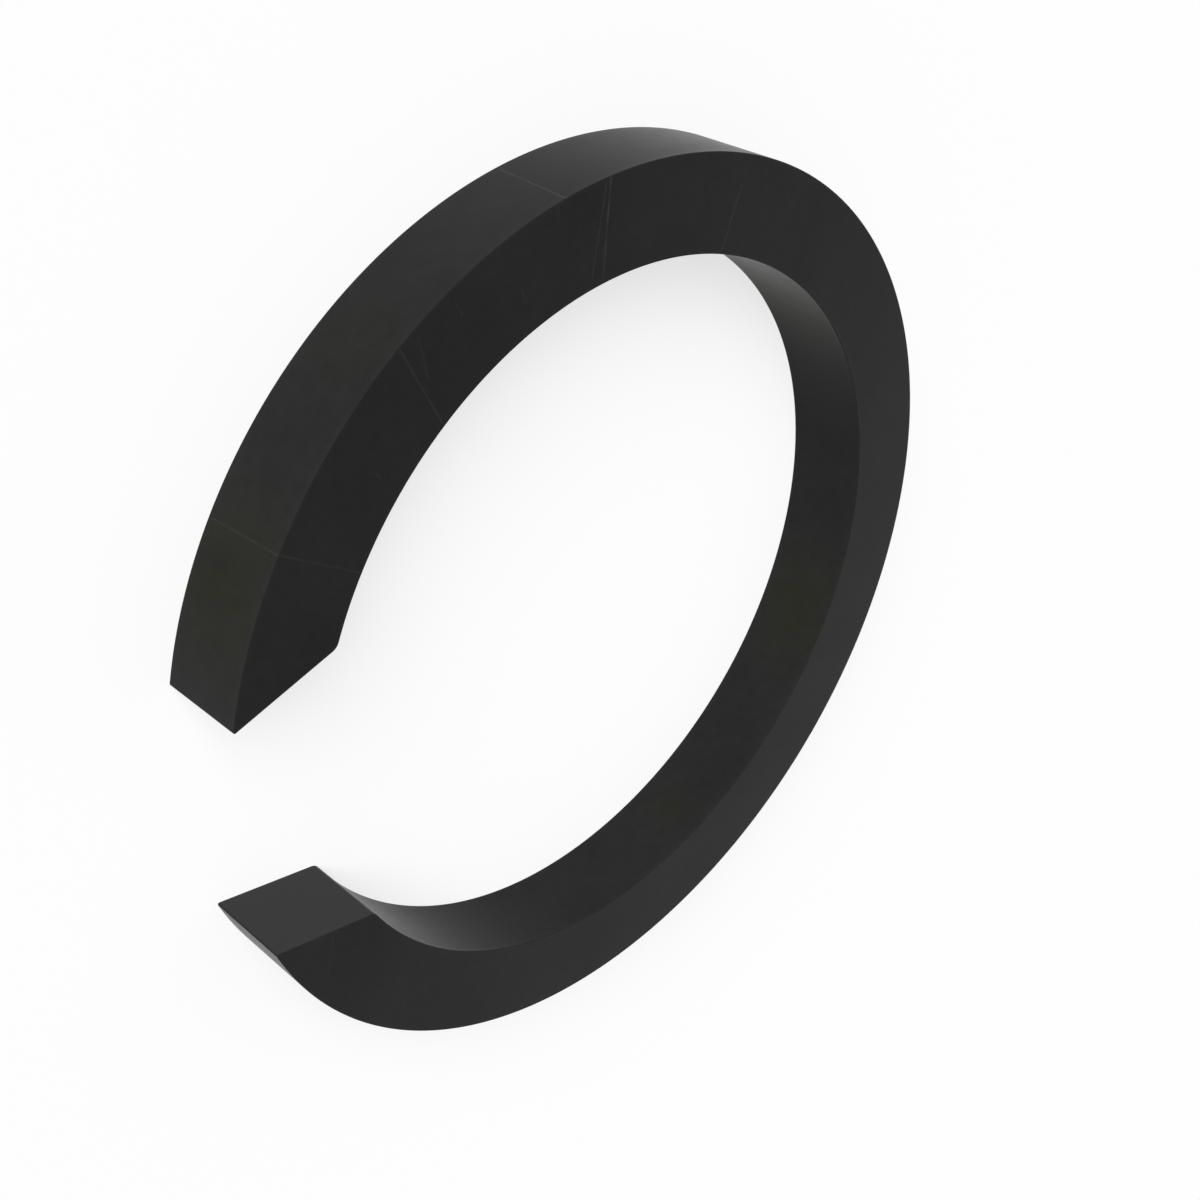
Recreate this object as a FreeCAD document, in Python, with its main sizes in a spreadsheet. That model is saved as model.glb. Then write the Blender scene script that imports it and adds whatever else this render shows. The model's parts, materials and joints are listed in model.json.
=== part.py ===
import FreeCAD, Part
import math
import os
import Sketcher


# External snap ring: a length of square spring-steel wire coiled to an open
# ring, with both ends cut at a slant. It is one piece, and it lies flat on
# its lower face at z = 0, with the shaft's axis along +Z through the origin
# and the gap between the ends towards -Y.

# Driving sizes in millimetres and degrees, for the ring as it lies unsprung.
DRIVING_SIZES = (
    ("bore_diameter", 40.2, "inside of the ring, a little under the groove floor that it grips"),
    ("wire_width", 5.0, "wire measured outwards from the bore"),
    ("wire_height", 4.95, "wire measured along the shaft, between the two ground faces"),
    ("gap_width", 13.7, "between the outer corners of the ends"),
    ("end_slant", 14.5, "angle of each end to the middle line of the gap, wider at the bore"),
    ("end_corner_radius", 0.6, "inner corner of each end, so that it slides over the shaft"),
    ("edge_break", 0.1, "rounding that tumbling leaves on every sharp edge"),
)


def size_sheet(doc):
    """The sheet of driving sizes: name, value with its alias, and meaning."""
    sheet = doc.addObject("Spreadsheet::Sheet", "sizes")
    for row, (alias, value, meaning) in enumerate(DRIVING_SIZES, start=1):
        sheet.set(f"A{row}", alias)
        sheet.set(f"B{row}", str(value))
        sheet.setAlias(f"B{row}", alias)
        sheet.set(f"C{row}", meaning)
    doc.recompute()
    return sheet


def draw_outline(outline, sheet):
    """The open ring seen along the shaft: two arcs about the axis, joined by the slanted ends."""
    bore_radius = sheet.bore_diameter / 2
    outer_radius = bore_radius + sheet.wire_width
    slant = math.radians(sheet.end_slant)

    # Half the gap as an angle at the axis. An end's line passes the axis at
    # one distance, so its angle at the bore follows from that at the outside.
    outer_half_gap = math.asin(sheet.gap_width / 2 / outer_radius)
    line_distance = outer_radius * math.sin(outer_half_gap + slant)
    inner_half_gap = math.asin(line_distance / bore_radius) - slant

    axis_point = FreeCAD.Vector(0, 0, 0)
    axis = FreeCAD.Vector(0, 0, 1)

    def arc_past_gap(radius, half_gap):
        circle = Part.Circle(axis_point, axis, radius)
        return Part.ArcOfCircle(circle, half_gap - math.pi / 2, 3 * math.pi / 2 - half_gap)

    outer_arc = arc_past_gap(outer_radius, outer_half_gap)
    inner_arc = arc_past_gap(bore_radius, inner_half_gap)
    right_end = Part.LineSegment(outer_arc.StartPoint, inner_arc.StartPoint)
    left_end = Part.LineSegment(inner_arc.EndPoint, outer_arc.EndPoint)

    outer, right, inner, left = outline.addGeometry([outer_arc, right_end, inner_arc, left_end], False)
    start, end, centre = 1, 2, 3
    origin = (-1, 1)
    outline.addConstraint(
        [
            Sketcher.Constraint("Coincident", outer, centre, *origin),
            Sketcher.Constraint("Coincident", inner, centre, *origin),
            Sketcher.Constraint("Coincident", outer, start, right, start),
            Sketcher.Constraint("Coincident", right, end, inner, start),
            Sketcher.Constraint("Coincident", inner, end, left, start),
            Sketcher.Constraint("Coincident", left, end, outer, end),
            Sketcher.Constraint("Horizontal", outer, start, outer, end),
            Sketcher.Constraint("Horizontal", inner, start, inner, end),
        ]
    )

    driven_sizes = (
        ("bore", ("Radius", inner, bore_radius), "sizes.bore_diameter / 2"),
        ("outside", ("Radius", outer, outer_radius), "sizes.bore_diameter / 2 + sizes.wire_width"),
        ("gap", ("DistanceX", outer, end, outer, start, sheet.gap_width), "sizes.gap_width"),
        ("slant", ("Angle", right, math.pi / 2 - slant), "90 - sizes.end_slant"),
    )
    for name, terms, expression in driven_sizes:
        index = outline.addConstraint(Sketcher.Constraint(*terms))
        outline.renameConstraint(index, name)
        outline.setExpression(f"Constraints.{name}", expression)


def edge_names(feature, wanted):
    """The names of a feature's edges that pass a test."""
    return [f"Edge{i}" for i, edge in enumerate(feature.Shape.Edges, start=1) if wanted(edge)]


def make_snap_ring(doc, sheet):
    """Outline padded to the wire's height, inner end corners rounded, then every sharp edge broken."""
    body = doc.addObject("PartDesign::Body", "snap_ring")
    body.Label = "snap_ring"
    body.Placement = FreeCAD.Placement()
    face_plane = next(plane for plane in body.Origin.OriginFeatures if plane.Role == "XY_Plane")

    outline = body.newObject("Sketcher::SketchObject", "ring_outline")
    outline.AttachmentSupport = [(face_plane, "")]
    outline.MapMode = "FlatFace"
    draw_outline(outline, sheet)

    blank = body.newObject("PartDesign::Pad", "ring_blank")
    blank.Profile = outline
    blank.setExpression("Length", "sizes.wire_height")
    doc.recompute()

    middle_radius = sheet.bore_diameter / 2 + sheet.wire_width / 2
    half_height = sheet.wire_height / 2

    def stands_upright(edge):
        return edge.BoundBox.ZLength > half_height

    def stands_at_bore(edge):
        middle = edge.CenterOfMass
        return stands_upright(edge) and math.hypot(middle.x, middle.y) < middle_radius

    end_corners = body.newObject("PartDesign::Fillet", "end_corners")
    end_corners.Base = (blank, edge_names(blank, stands_at_bore))
    end_corners.setExpression("Radius", "sizes.end_corner_radius")
    doc.recompute()

    # The upright edges at the bore now run smoothly into the rounded corners,
    # so every edge but those is sharp: both faces' outlines and the two outer
    # corners of the ends.
    broken_edges = body.newObject("PartDesign::Fillet", "broken_edges")
    broken_edges.Base = (end_corners, edge_names(end_corners, lambda edge: not stands_at_bore(edge)))
    broken_edges.setExpression("Radius", "sizes.edge_break")
    body.Tip = broken_edges
    doc.recompute()
    return body


def check_model(doc, body):
    """Every feature has to be sound, and the ring one closed solid, before a file is written."""
    for item in doc.Objects:
        if {"Invalid", "Error"} & set(item.State):
            raise RuntimeError(f"{item.Label} did not build: {item.State}")
    if body.Shape.isNull() or not body.Shape.isValid() or len(body.Shape.Solids) != 1:
        raise RuntimeError(f"{body.Label} is not one sound solid")


doc = FreeCAD.newDocument("external_snap_ring")
sizes = size_sheet(doc)
snap_ring = make_snap_ring(doc, sizes)
check_model(doc, snap_ring)

os.makedirs("parts", exist_ok=True)
snap_ring.Shape.exportStep(f"parts/{snap_ring.Label}.step")
print(f"{snap_ring.Label}: {snap_ring.Shape.Volume:.1f} cubic mm, box {snap_ring.Shape.BoundBox}")
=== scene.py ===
import json
import math

import bmesh
import bpy
import numpy as np
from mathutils import Matrix, Vector


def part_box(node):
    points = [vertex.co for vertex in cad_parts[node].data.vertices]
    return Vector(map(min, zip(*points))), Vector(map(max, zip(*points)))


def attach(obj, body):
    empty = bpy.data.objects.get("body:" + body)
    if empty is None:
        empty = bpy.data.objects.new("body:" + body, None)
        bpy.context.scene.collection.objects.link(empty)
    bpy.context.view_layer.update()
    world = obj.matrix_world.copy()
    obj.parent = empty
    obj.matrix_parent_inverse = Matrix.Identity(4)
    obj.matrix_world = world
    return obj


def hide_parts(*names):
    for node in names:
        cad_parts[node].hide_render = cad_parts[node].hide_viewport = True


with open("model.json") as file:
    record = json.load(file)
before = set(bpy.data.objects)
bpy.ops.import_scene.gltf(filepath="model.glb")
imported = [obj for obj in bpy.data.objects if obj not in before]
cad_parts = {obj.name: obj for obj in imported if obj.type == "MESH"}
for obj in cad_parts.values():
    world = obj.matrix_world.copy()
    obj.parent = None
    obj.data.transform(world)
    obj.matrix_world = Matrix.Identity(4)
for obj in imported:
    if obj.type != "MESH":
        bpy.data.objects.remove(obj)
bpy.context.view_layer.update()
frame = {"record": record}


# Snap ring
# One length of nearly square spring steel wire, coiled to an open ring and cut
# at a slant at both ends, so that the gap is wider at the bore than outside.
# It is tumbled and then blackened in a hot oxide bath.

mounts = {mount["name"]: mount for mount in frame["record"]["mounts"]}
ring_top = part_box("snap_ring")[1]
outer_radius = min(ring_top.x, ring_top.y)
height = ring_top.z
bore_radius = mounts["shaft_groove_seat"]["dims"]["r_mm"] / 1000
cut_normal = np.array(mounts["left_end_face"]["axis"][:2])
cut_offset = cut_normal @ np.array(mounts["left_end_face"]["pos_m"][:2])
cut_direction = math.atan2(cut_normal[1], cut_normal[0])

edge_break = 0.04e-3
tip_radius = 0.1e-3            # at an end's outer corner, seen from above
end_corner_radius = 0.6e-3     # at its inner corner
burnish_depth = 0.12e-3        # how far from an edge handling has worn the finish

station_count = 480            # along the wire, from the right end to the left one
face_rows = 16                 # across a side face, from the outside to the bore
wall_rows = 12                 # up a wall
corner_steps = 8               # round an end's corner
break_steps = 4                # round a broken edge
weld_distance = 1e-7


def around(centre, radius, directions):
    """Points round a centre: the centre plus the radius times the cosine and sine of each direction."""
    return centre + radius * np.column_stack([np.cos(directions), np.sin(directions)])


def behind_cut(axis_distance, depth):
    """The point at a depth behind the left end's cut and at a distance from the ring's axis.

    Across the cut it lies at the cut's own offset less the depth, and along the cut at what
    Pythagoras leaves of its distance from the axis.
    """
    along_cut = np.array([cut_normal[1], -cut_normal[0]])
    across = cut_offset - depth
    return across * cut_normal + math.sqrt(axis_distance**2 - across**2) * along_cut


def other_end(points):
    """The left end's points at the right end: the same with x turned round."""
    return points * [-1, 1]


def with_both_ends(points, directions, end_points, end_directions):
    """A stretch of outline with the left end's points added, and their mirror image at the right end."""
    points = np.vstack([other_end(end_points)[::-1], points, end_points])
    directions = np.concatenate([math.pi - end_directions[::-1], directions, end_directions])
    return points, directions


def ring_outline():
    """The ring from above, one edge break inside its edges: a grid over its side, and the line round it.

    The outside is an arc that turns into the tips of the ends, and the bore is an arc that
    turns into their inner corners. The grid is the straight blend of the two, row by row.
    The line goes once round, with each point's outward direction: outside, left cut, bore,
    right cut.
    """
    cut = cut_direction + 2 * math.pi
    tip_centre = behind_cut(outer_radius - tip_radius, tip_radius)
    corner_centre = behind_cut(bore_radius + end_corner_radius, end_corner_radius)
    outer_end = math.atan2(tip_centre[1], tip_centre[0]) + 2 * math.pi
    inner_end = math.atan2(corner_centre[1], corner_centre[0]) + 2 * math.pi

    arc_stations = station_count - 2 * corner_steps
    outside_turn = np.linspace(math.pi - outer_end, outer_end, arc_stations)
    outside = around(0, outer_radius - edge_break, outside_turn)
    tip_turn = np.linspace(outer_end, cut, corner_steps + 1)[1:]
    tip = around(tip_centre, tip_radius - edge_break, tip_turn)
    outside, outward = with_both_ends(outside, outside_turn, tip, tip_turn)
    bore_turn = np.linspace(math.pi - inner_end, inner_end, arc_stations)
    bore = around(0, bore_radius + edge_break, bore_turn)
    corner_turn = np.linspace(inner_end + math.pi, cut, corner_steps + 1)[1:]
    corner = around(corner_centre, end_corner_radius - edge_break, corner_turn)
    bore, inward = with_both_ends(bore, bore_turn + math.pi, corner, corner_turn)

    share = (1 - np.cos(np.linspace(0, math.pi, face_rows + 1))) / 2
    grid = outside + share[:, None, None] * (bore - outside)

    cut_line = grid[1:-1, -1]
    cut_turn = np.full(len(cut_line), cut)
    line = np.vstack([outside, cut_line, bore[::-1], other_end(cut_line)[::-1]])
    directions = np.concatenate([outward, cut_turn, inward[::-1], math.pi - cut_turn])
    return grid, line, directions


def wall_surface(line, directions):
    """The edge profile carried round the outline: a quarter turn out, the wall, and a quarter turn in.

    A point is its station plus the edge break times the sine of the profile's tilt along the
    outward direction. It lies at the profile's lift less the edge break times the tilt's cosine.
    """
    lower = np.linspace(0, math.pi / 2, break_steps + 1)
    tilt = np.concatenate([lower, np.full(wall_rows - 1, math.pi / 2), lower + math.pi / 2])
    rise = np.linspace(edge_break, height - edge_break, wall_rows + 1)
    lift = np.concatenate([np.full(break_steps, rise[0]), rise, np.full(break_steps, rise[-1])])
    outward = np.column_stack([np.cos(directions), np.sin(directions)])
    sideways = np.sin(tilt)[:, None, None] * outward
    upward = np.broadcast_to(-np.cos(tilt)[:, None, None], sideways.shape[:2] + (1,))
    normals = np.concatenate([sideways, upward], axis=2)
    stations = np.broadcast_to(line, sideways.shape)
    lifts = np.broadcast_to(lift[:, None, None], upward.shape)
    return np.concatenate([stations, lifts], axis=2) + edge_break * normals, normals


def side_surface(grid, level, facing):
    """A flat side face: the grid's points at one level, with normals that all point up or all down."""
    levels = np.full(grid.shape[:2] + (1,), level)
    normals = np.zeros(grid.shape[:2] + (3,))
    normals[..., 2] = facing
    return np.concatenate([grid, levels], axis=2), normals


def four_corners(rows, columns, closed):
    """The point numbers of a grid's cells: each cell's point, its neighbour along, and those two a row on."""
    number = np.arange(rows * columns).reshape(rows, columns)
    if closed:
        number = np.column_stack([number, number[:, 0]])
    cells = [number[:-1, :-1], number[:-1, 1:], number[1:, 1:], number[1:, :-1]]
    return np.stack(cells, axis=-1).reshape(-1, 4)


def cut_depth(points):
    """How far each point is behind the cut of its own end: the cut's offset less the point's, across it."""
    left_side = np.column_stack([-np.abs(points[:, 0]), points[:, 1]])
    return np.where(points[:, 1] < 0, cut_offset - left_side @ cut_normal, outer_radius)


def edge_distance(points):
    """How far each point of the surface is from the nearest edge.

    A point has a depth below each of the ring's surfaces. Its own surface gives nought, and
    the next smallest depth is its distance from an edge.
    """
    axis_distance = np.hypot(points[:, 0], points[:, 1])
    depths = [
        outer_radius - axis_distance,
        axis_distance - bore_radius,
        points[:, 2],
        height - points[:, 2],
        cut_depth(points),
    ]
    return np.sort(np.abs(depths), axis=0)[1]


def one_after_another(*grids):
    """Several grids of points or of normals, as one list."""
    return np.vstack([grid.reshape(-1, 3) for grid in grids])


side_grid, rim, rim_directions = ring_outline()
wall_points, wall_normals = wall_surface(rim, rim_directions)
upper_points, upper_normals = side_surface(side_grid, height, 1)
lower_points, lower_normals = side_surface(side_grid, 0, -1)
ring_points = one_after_another(wall_points, upper_points, lower_points)
ring_normals = one_after_another(wall_normals, upper_normals, lower_normals)

wall_cells = four_corners(*wall_points.shape[:2], closed=True)
side_cells = four_corners(*side_grid.shape[:2], closed=False)
upper_start = wall_points.size // 3
lower_start = upper_start + upper_points.size // 3
# The lower side's cells run the other way round, so that they face down.
ring_cells = np.vstack([wall_cells, side_cells + upper_start, side_cells[:, ::-1] + lower_start])

ring_mesh = bpy.data.meshes.new("snap_ring_wire")
ring_mesh.from_pydata(ring_points.tolist(), [], ring_cells.tolist())
outward = ring_mesh.attributes.new("outward", "FLOAT_VECTOR", "POINT")
outward.data.foreach_set("vector", ring_normals.ravel())
burnish = ring_mesh.attributes.new("burnish", "FLOAT", "POINT")
burnish.data.foreach_set("value", np.exp(-edge_distance(ring_points) / burnish_depth))
cut_face = ring_mesh.attributes.new("cut_face", "FLOAT", "POINT")
cut_face.data.foreach_set("value", 1 - np.clip(cut_depth(ring_points) / edge_break, 0, 1))

welded = bmesh.new()
welded.from_mesh(ring_mesh)
bmesh.ops.remove_doubles(welded, verts=welded.verts, dist=weld_distance)
welded.to_mesh(ring_mesh)
welded.free()
true_normals = np.empty(3 * len(ring_mesh.vertices), np.float32)
ring_mesh.attributes["outward"].data.foreach_get("vector", true_normals)
ring_mesh.shade_smooth()
ring_mesh.normals_split_custom_set_from_vertices(true_normals.reshape(-1, 3).tolist())
ring_mesh.attributes.remove(ring_mesh.attributes["outward"])

ring = bpy.data.objects.new("snap_ring_wire", ring_mesh)
bpy.context.scene.collection.objects.link(ring)


# Its finish: a thin black oxide, near black and half matt. The bath leaves it slightly cloudy.
# It is tinted olive in places on the walls, and paler on the cut faces. The drawing die leaves faint lines
# along the wire, and handling a few fine scratches and very slightly worn edges.

cloud_size = 6e-3
mottle_size = 0.7e-3
grain_size = 0.09e-3
die_line_size = 0.16e-3
die_line_change = 0.01         # round the axis, as a share of that across the lines
scratch_gap_size = 0.9e-3      # of the stretches where a scratch is faint
scratch_gap_strength = 0.35
scratch_core = 0.015e-3        # how far from its middle line a scratch has its full strength
scratch_reach = 0.075e-3       # and how far it reaches

dark_oxide = (0.0113, 0.0113, 0.0111, 1)
light_oxide = (0.0151, 0.0151, 0.0149, 1)
pale_oxide = (0.036, 0.036, 0.0355, 1)        # in scratches, on the cut faces and at worn edges
no_blue = (1, 1, 0, 1)
cloud_share = 0.6              # of the tone, with the mottle as the rest
worn_edge_paleness = 0.09
cut_face_paleness = 0.70

mottle_roughness = (0.29, 0.33)        # from its smoothest to its roughest
edge_polish = 0.06             # how much less rough an edge is
relief_depth = 0.01e-3
grain_relief = 0.5             # these three as shares of that depth
die_line_relief = 0.35
scratch_relief = 0.5


def fresh_tree(owner):
    """The node tree of a material or a world, emptied."""
    owner.use_nodes = True
    owner.node_tree.nodes.clear()
    return owner.node_tree


def node(tree, kind, settings=None, inputs=None):
    """A shader node with its settings, and its inputs set to a value or linked to an output."""
    made = tree.nodes.new(kind)
    for name, value in (settings or {}).items():
        setattr(made, name, value)
    for name, value in (inputs or {}).items():
        if isinstance(value, bpy.types.NodeSocket):
            tree.links.new(value, made.inputs[name])
        else:
            made.inputs[name].default_value = value
    return made


def noise(tree, place, size, detail=2.0, roughness=0.5):
    """Noise whose features are about as wide as the given size in metres."""
    inputs = {"Vector": place, "Scale": 1 / size, "Detail": detail, "Roughness": roughness}
    return node(tree, "ShaderNodeTexNoise", inputs=inputs).outputs["Fac"]


def ramp(tree, value, low, high, to_low, to_high, course="LINEAR"):
    """Brings the range low..high to the range to_low..to_high, and holds what lies beyond."""
    settings = {"clamp": True, "interpolation_type": course}
    inputs = {0: value, 1: low, 2: high, 3: to_low, 4: to_high}
    return node(tree, "ShaderNodeMapRange", settings, inputs).outputs[0]


def maths(tree, operation, first, second=0.0):
    """The result of a step on numbers."""
    return node(tree, "ShaderNodeMath", {"operation": operation}, {0: first, 1: second}).outputs[0]


def vector_maths(tree, operation, first, second=(0.0, 0.0, 0.0)):
    """The result of a step on vectors: a number for a length, distance or product, otherwise a vector."""
    settings = {"operation": operation}
    made = node(tree, "ShaderNodeVectorMath", settings, {0: first, 1: second})
    return next(output for output in made.outputs if output.enabled)


def mixed_colour(tree, share, first, second, blend="MIX"):
    """Two colours blended, with this share of the second one. Sockets 6 and 7 take the colours."""
    settings = {"data_type": "RGBA", "blend_type": blend}
    return node(tree, "ShaderNodeMix", settings, {"Factor": share, 6: first, 7: second}).outputs[2]


def mixed(tree, share, first, second):
    """Two shaders blended, with this share of the second one."""
    return node(tree, "ShaderNodeMixShader", inputs={"Fac": share, 1: first, 2: second}).outputs[0]


def segment_distance(tree, place, start, end):
    """Distance of a point from a straight scratch.

    The point's share along the scratch is held between its two ends, and the distance is
    that from the place on the scratch with that share.
    """
    start, end = Vector(start), Vector(end)
    span = end - start
    from_start = vector_maths(tree, "SUBTRACT", place, start)
    along = vector_maths(tree, "DOT_PRODUCT", from_start, span / span.length_squared)
    held = ramp(tree, along, 0.0, 1.0, 0.0, 1.0)
    nearest = vector_maths(tree, "MULTIPLY", held, span)
    return vector_maths(tree, "DISTANCE", from_start, nearest)


def ring_place(azimuth, axis_distance, level):
    """The place at an azimuth in degrees and at a distance from the ring's axis."""
    turn = math.radians(azimuth)
    return (axis_distance * math.cos(turn), axis_distance * math.sin(turn), level)


def on_side(azimuth, axis_distance_mm):
    """A place on the upper side face."""
    return ring_place(azimuth, axis_distance_mm / 1000, height)


def on_outside(azimuth, level_mm):
    """A place on the outer wall."""
    return ring_place(azimuth, outer_radius, level_mm / 1000)


def in_bore(azimuth, level_mm):
    """A place on the bore's wall."""
    return ring_place(azimuth, bore_radius, level_mm / 1000)


# Each olive tinge on a wall: its middle, its reach, and the share of blue it takes.
tinges = [
    (on_outside(240.5, 2.5), 6.0e-3, 0.27),
    (on_outside(213.0, 2.5), 3.0e-3, 0.10),
    (in_bore(62.0, 2.5), 5.5e-3, 0.25),
    (in_bore(18.0, 2.5), 1.8e-3, 0.30),
    (in_bore(129.0, 2.5), 5.5e-3, 0.65),
]
tinge_margin = 0.1e-3        # below the upper side face, which has no tinge

# Each scratch: where it starts and ends, and how strong it is.
scratches = [
    (on_outside(187.0, 0.3), on_outside(187.7, 4.9), 0.68),
    (on_outside(235.3, 0.2), on_outside(234.85, 4.9), 0.33),
    (on_outside(213.4, 3.0), on_outside(213.5, 2.8), 0.25),
    (on_side(234.8, 25.05), on_side(235.0, 20.2), 0.32),
    (on_side(181.3, 25.0), on_side(182.0, 23.3), 1.0),
    (on_side(182.0, 23.3), on_side(183.4, 20.3), 0.72),
    (on_side(182.0, 24.8), on_side(185.3, 20.7), 0.52),
    (on_side(158.8, 24.9), on_side(159.05, 23.6), 0.16),
    (on_side(159.05, 23.6), on_side(159.6, 20.3), 0.48),
    (on_side(211.9, 25.0), on_side(213.7, 20.4), 0.38),
    (on_side(209.5, 24.8), on_side(211.6, 22.6), 0.22),
    (on_side(204.3, 24.3), on_side(204.3, 23.6), 0.38),
    (on_side(196.2, 22.4), on_side(196.2, 21.8), 0.28),
    (on_side(223.4, 22.0), on_side(223.5, 21.6), 0.22),
    (on_side(188.8, 25.0), on_side(189.3, 24.2), 0.16),
    (on_side(290.5, 22.2), on_side(296.7, 24.2), 0.18),
]

oxide = bpy.data.materials.new("black_oxide_steel")
tree = fresh_tree(oxide)
place = node(tree, "ShaderNodeTexCoord").outputs["Object"]
apart = node(tree, "ShaderNodeSeparateXYZ", inputs={0: place}).outputs
axis_distance = vector_maths(tree, "LENGTH", vector_maths(tree, "MULTIPLY", place, (1, 1, 0)))
worn_edge = node(tree, "ShaderNodeAttribute", {"attribute_name": "burnish"}).outputs["Fac"]
sheared = node(tree, "ShaderNodeAttribute", {"attribute_name": "cut_face"}).outputs["Fac"]

clouds = noise(tree, place, cloud_size, detail=3.0, roughness=0.55)
mottle = noise(tree, place, mottle_size, detail=3.0, roughness=0.6)
grain = noise(tree, place, grain_size, detail=2.0, roughness=0.6)
# The die's lines follow the wire, so their noise hardly changes round the axis.
slow_turn = maths(tree, "MULTIPLY", apart["X"], die_line_change)
drawn = {"X": axis_distance, "Y": slow_turn, "Z": apart["Z"]}
drawn_place = node(tree, "ShaderNodeCombineXYZ", inputs=drawn).outputs[0]
die_lines = noise(tree, drawn_place, die_line_size)

# The scratches lie one over another, and each comes and goes along its length.
scratch_line = 0.0
for start, end, strength in scratches:
    distance = segment_distance(tree, place, start, end)
    one_line = ramp(tree, distance, scratch_core, scratch_reach, strength, 0.0)
    scratch_line = maths(tree, "MAXIMUM", one_line, scratch_line)
gaps = noise(tree, place, scratch_gap_size, detail=3.0, roughness=0.6)
scratch_break = ramp(tree, gaps, 0.35, 0.6, scratch_gap_strength, 1.0)
scratched = maths(tree, "MULTIPLY", scratch_line, scratch_break)

clouded = maths(tree, "MULTIPLY", clouds, cloud_share)
mottled = maths(tree, "MULTIPLY", mottle, 1 - cloud_share)
black = node(tree, "ShaderNodeValToRGB", inputs={"Fac": maths(tree, "ADD", clouded, mottled)})
black.color_ramp.elements[0].position = 0.35
black.color_ramp.elements[0].color = dark_oxide
black.color_ramp.elements[1].position = 0.65
black.color_ramp.elements[1].color = light_oxide

# A tinge takes blue out of the black, and fades smoothly from its middle to its reach.
olive = 0.0
for middle, reach, share in tinges:
    distance = vector_maths(tree, "DISTANCE", place, middle)
    one_tinge = ramp(tree, distance, 0.0, reach, share, 0.0, "SMOOTHSTEP")
    olive = maths(tree, "MAXIMUM", one_tinge, olive)
on_wall = ramp(tree, apart["Z"], height - tinge_margin, height, 1.0, 0.0)
olive = maths(tree, "MULTIPLY", olive, on_wall)
tinged = mixed_colour(tree, olive, black.outputs["Color"], no_blue, "MULTIPLY")

# The oxide is thin in the scratches and at the edges, and the faces that were cut are paler.
paleness = maths(tree, "ADD", scratched, maths(tree, "MULTIPLY", worn_edge, worn_edge_paleness))
paleness = maths(tree, "ADD", paleness, maths(tree, "MULTIPLY", sheared, cut_face_paleness))
colour = mixed_colour(tree, paleness, tinged, pale_oxide)

polished = maths(tree, "MULTIPLY", worn_edge, edge_polish)
gloss = maths(tree, "SUBTRACT", ramp(tree, mottle, 0.3, 0.7, *mottle_roughness), polished)
grain_height = maths(tree, "MULTIPLY", grain, grain_relief)
die_line_height = maths(tree, "MULTIPLY", die_lines, die_line_relief)
relief = maths(tree, "ADD", grain_height, die_line_height)
relief = maths(tree, "SUBTRACT", relief, maths(tree, "MULTIPLY", scratched, scratch_relief))
bump = {"Strength": 0.3, "Distance": relief_depth, "Height": relief}
finish = {
    "Base Color": colour,
    "Roughness": gloss,
    "Normal": node(tree, "ShaderNodeBump", inputs=bump).outputs[0],
    "Metallic": 0.0,
    "IOR": 1.5,
    "Specular IOR Level": 0.045,
}
surface = node(tree, "ShaderNodeBsdfPrincipled", inputs=finish).outputs["BSDF"]
node(tree, "ShaderNodeOutputMaterial", inputs={"Surface": surface})
ring_mesh.materials.append(oxide)

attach(ring, "root")
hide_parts("snap_ring")


# Floor
# A plain matt white studio floor that the ring lies on. It is seen nearly white, in the
# ring's reflections too, with a share of its real shade left for the shadow.

floor_half = 3.0
floor_level = -0.01e-3                     # just below the ring, so that the two stay apart
floor_paint = (0.80, 0.80, 0.80, 1)        # as its light reaches the ring
seen_paint = (0.96, 0.96, 0.96, 1)
white = (1, 1, 1, 1)
shade_share = 0.3


def seen_directly(tree):
    """One for the camera's rays and for those that metal, glass and gloss send on, otherwise nought."""
    rays = node(tree, "ShaderNodeLightPath").outputs
    seen = maths(tree, "MAXIMUM", rays["Is Camera Ray"], rays["Is Glossy Ray"])
    return maths(tree, "MAXIMUM", seen, rays["Is Transmission Ray"])


floor_mesh = bpy.data.meshes.new("studio_floor")
floor_corners = floor_half * np.array([[-1, -1], [1, -1], [1, 1], [-1, 1]])
floor_mesh.from_pydata([(x, y, floor_level) for x, y in floor_corners], [], [(0, 1, 2, 3)])
floor = bpy.data.objects.new("studio_floor", floor_mesh)
bpy.context.scene.collection.objects.link(floor)

matt_white = bpy.data.materials.new("matt_white_floor")
tree = fresh_tree(matt_white)
painted = node(tree, "ShaderNodeBsdfDiffuse", inputs={"Color": floor_paint}).outputs[0]
shaded = node(tree, "ShaderNodeBsdfDiffuse", inputs={"Color": seen_paint}).outputs[0]
plain = node(tree, "ShaderNodeEmission", inputs={"Color": white, "Strength": 1.0}).outputs[0]
looks = mixed(tree, shade_share, plain, shaded)
surface = mixed(tree, seen_directly(tree), painted, looks)
node(tree, "ShaderNodeOutputMaterial", inputs={"Surface": surface})
floor_mesh.materials.append(matt_white)


# Studio light
# A plain white room and one large soft key lamp behind the camera's left shoulder. The
# room is seen white, and its own light fills the key's shadows.

fill_light = 0.3                  # with the key lamp, one: the light that makes white paint white
key_width = math.radians(42)      # as the ring sees it

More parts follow.
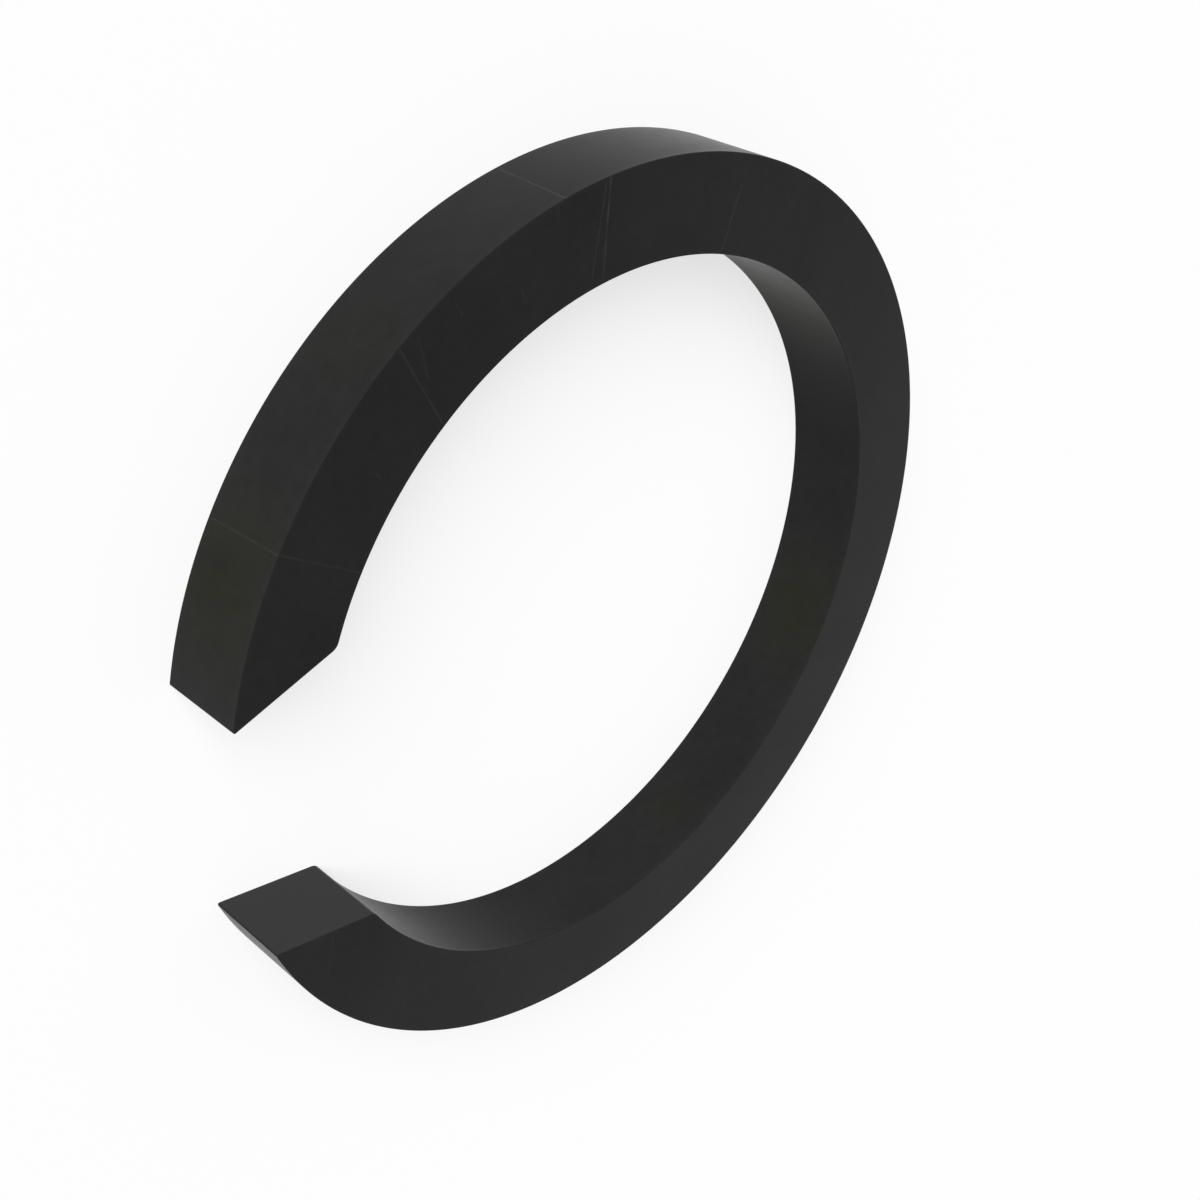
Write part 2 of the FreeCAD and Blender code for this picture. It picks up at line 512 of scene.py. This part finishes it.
room = bpy.data.worlds.new("studio_room")
bpy.context.scene.world = room
tree = fresh_tree(room)
backdrop = node(tree, "ShaderNodeBackground", inputs={"Color": white, "Strength": 1.0}).outputs[0]
fill = node(tree, "ShaderNodeBackground", inputs={"Color": white, "Strength": fill_light}).outputs[0]
surface = mixed(tree, seen_directly(tree), fill, backdrop)
node(tree, "ShaderNodeOutputWorld", inputs={"Surface": surface})


def toward(azimuth, elevation):
    """The direction with an azimuth and an elevation in degrees, one metre long."""
    azimuth, elevation = math.radians(azimuth), math.radians(elevation)
    level = math.cos(elevation)
    return Vector((level * math.cos(azimuth), level * math.sin(azimuth), math.sin(elevation)))


toward_key = toward(azimuth=215, elevation=31)
key_lamp = bpy.data.lights.new("key_softbox", "SUN")
key_lamp.energy = (1 - fill_light) * math.pi / toward_key.z
key_lamp.angle = key_width
key = bpy.data.objects.new("key_softbox", key_lamp)
key.rotation_mode = "QUATERNION"
key.rotation_quaternion = toward_key.to_track_quat("Z", "Y")
key.location = 0.5 * toward_key
key.visible_glossy = False        # so that the ring's edges mirror the plain room, with no glint
bpy.context.scene.collection.objects.link(key)


# Camera
# It stands where the photograph was taken from, up on the left of the gap, and is rolled
# so that the ring seems to stand on its rim.

camera_aim = Vector((2.4729e-3, 2.8880e-3, 0.0))
camera_distance = 95.152e-3
camera_roll = math.radians(240.509)
toward_camera = toward(azimuth=224.200, elevation=35.635)
photo_focal_length = 1663.01        # pixels
photo_width = 1200                  # pixels

level_right = (-toward_camera).cross(Vector((0, 0, 1))).normalized()
level_down = (-toward_camera).cross(level_right)
right = math.cos(camera_roll) * level_right + math.sin(camera_roll) * level_down
down = math.cos(camera_roll) * level_down - math.sin(camera_roll) * level_right
turned = Matrix((right, -down, toward_camera)).transposed().to_4x4()

lens = bpy.data.cameras.new("photo_camera")
lens.sensor_width = 36.0
lens.lens = photo_focal_length / photo_width * lens.sensor_width
lens.clip_start = 0.001
lens.clip_end = 20.0
camera = bpy.data.objects.new("photo_camera", lens)
camera.matrix_world = Matrix.Translation(camera_aim + camera_distance * toward_camera) @ turned
bpy.context.scene.collection.objects.link(camera)
bpy.context.scene.camera = camera
bpy.context.scene.view_settings.view_transform = "Standard"
